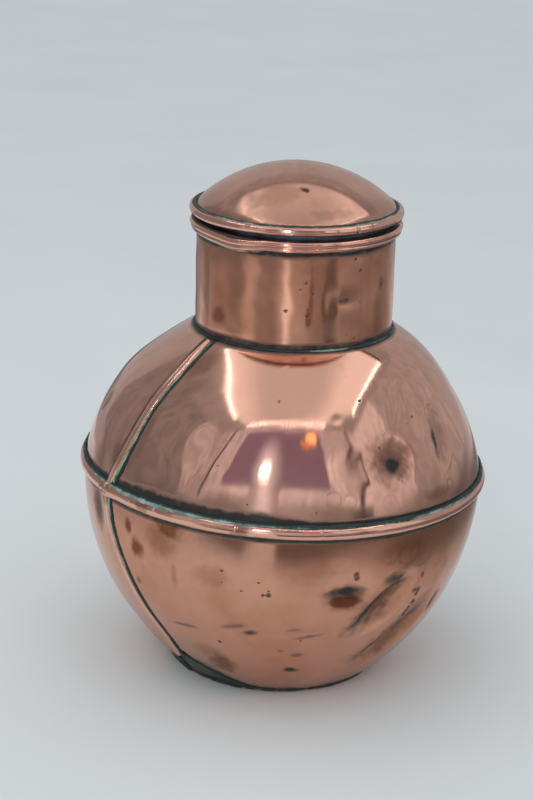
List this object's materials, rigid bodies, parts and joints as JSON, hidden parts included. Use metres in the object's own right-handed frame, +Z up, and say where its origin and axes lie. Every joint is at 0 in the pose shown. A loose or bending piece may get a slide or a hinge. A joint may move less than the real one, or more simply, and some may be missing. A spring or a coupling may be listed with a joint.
{
  "type": "lidded copper can",
  "caption": "Round-bellied copper can with soldered bead seams, a straight neck and a push-in domed lid that lifts off.",
  "frame": {"origin": "centre of the base plate's underside, where the can stands on a table", "axes": "+Z up, along the can's turning axis; the two body seams lie at -X and +X, and the half shells between them face -Y (front) and +Y (back)"},
  "size_m": [0.191, 0.191, 0.24],
  "materials": {
    "copper": "polished copper with a pinkish brown tarnish, dented",
    "beading": "bright polished copper strip, worn clean on its crown",
    "tinned_copper": "old dark tinning",
    "verdigris_solder": "dull solder under dark green and pale mint verdigris",
    "iron_wire": "plain wire, closed in"
  },
  "bodies": {
    "can": {"base_plate": "copper", "base_solder_ring": "verdigris_solder", "lower_shell_front": "copper", "lower_shell_back": "copper", "waist_bead": "beading", "waist_solder_upper": "verdigris_solder", "waist_solder_lower": "verdigris_solder", "upper_shell_front": "copper", "upper_shell_back": "copper", "lower_seam_bead_left": "beading", "lower_seam_bead_right": "beading", "upper_seam_bead_left": "beading", "upper_seam_bead_right": "beading", "neck_tube": "copper", "neck_solder_ring": "verdigris_solder", "neck_rim_bead": "beading", "neck_rim_wire": "iron_wire", "neck_rim_solder_ring": "verdigris_solder"},
    "lid": {"lid_dome": "copper", "lid_rim_bead": "beading", "lid_rim_wire": "iron_wire", "lid_solder_ring": "verdigris_solder", "lid_collar": "tinned_copper"}
  },
  "joints": [
    {"name": "lid_lift", "type": "slide", "parent": "can", "child": "lid", "axis": [0, 0, 1], "range_m": [0, 0.06]}
  ]
}
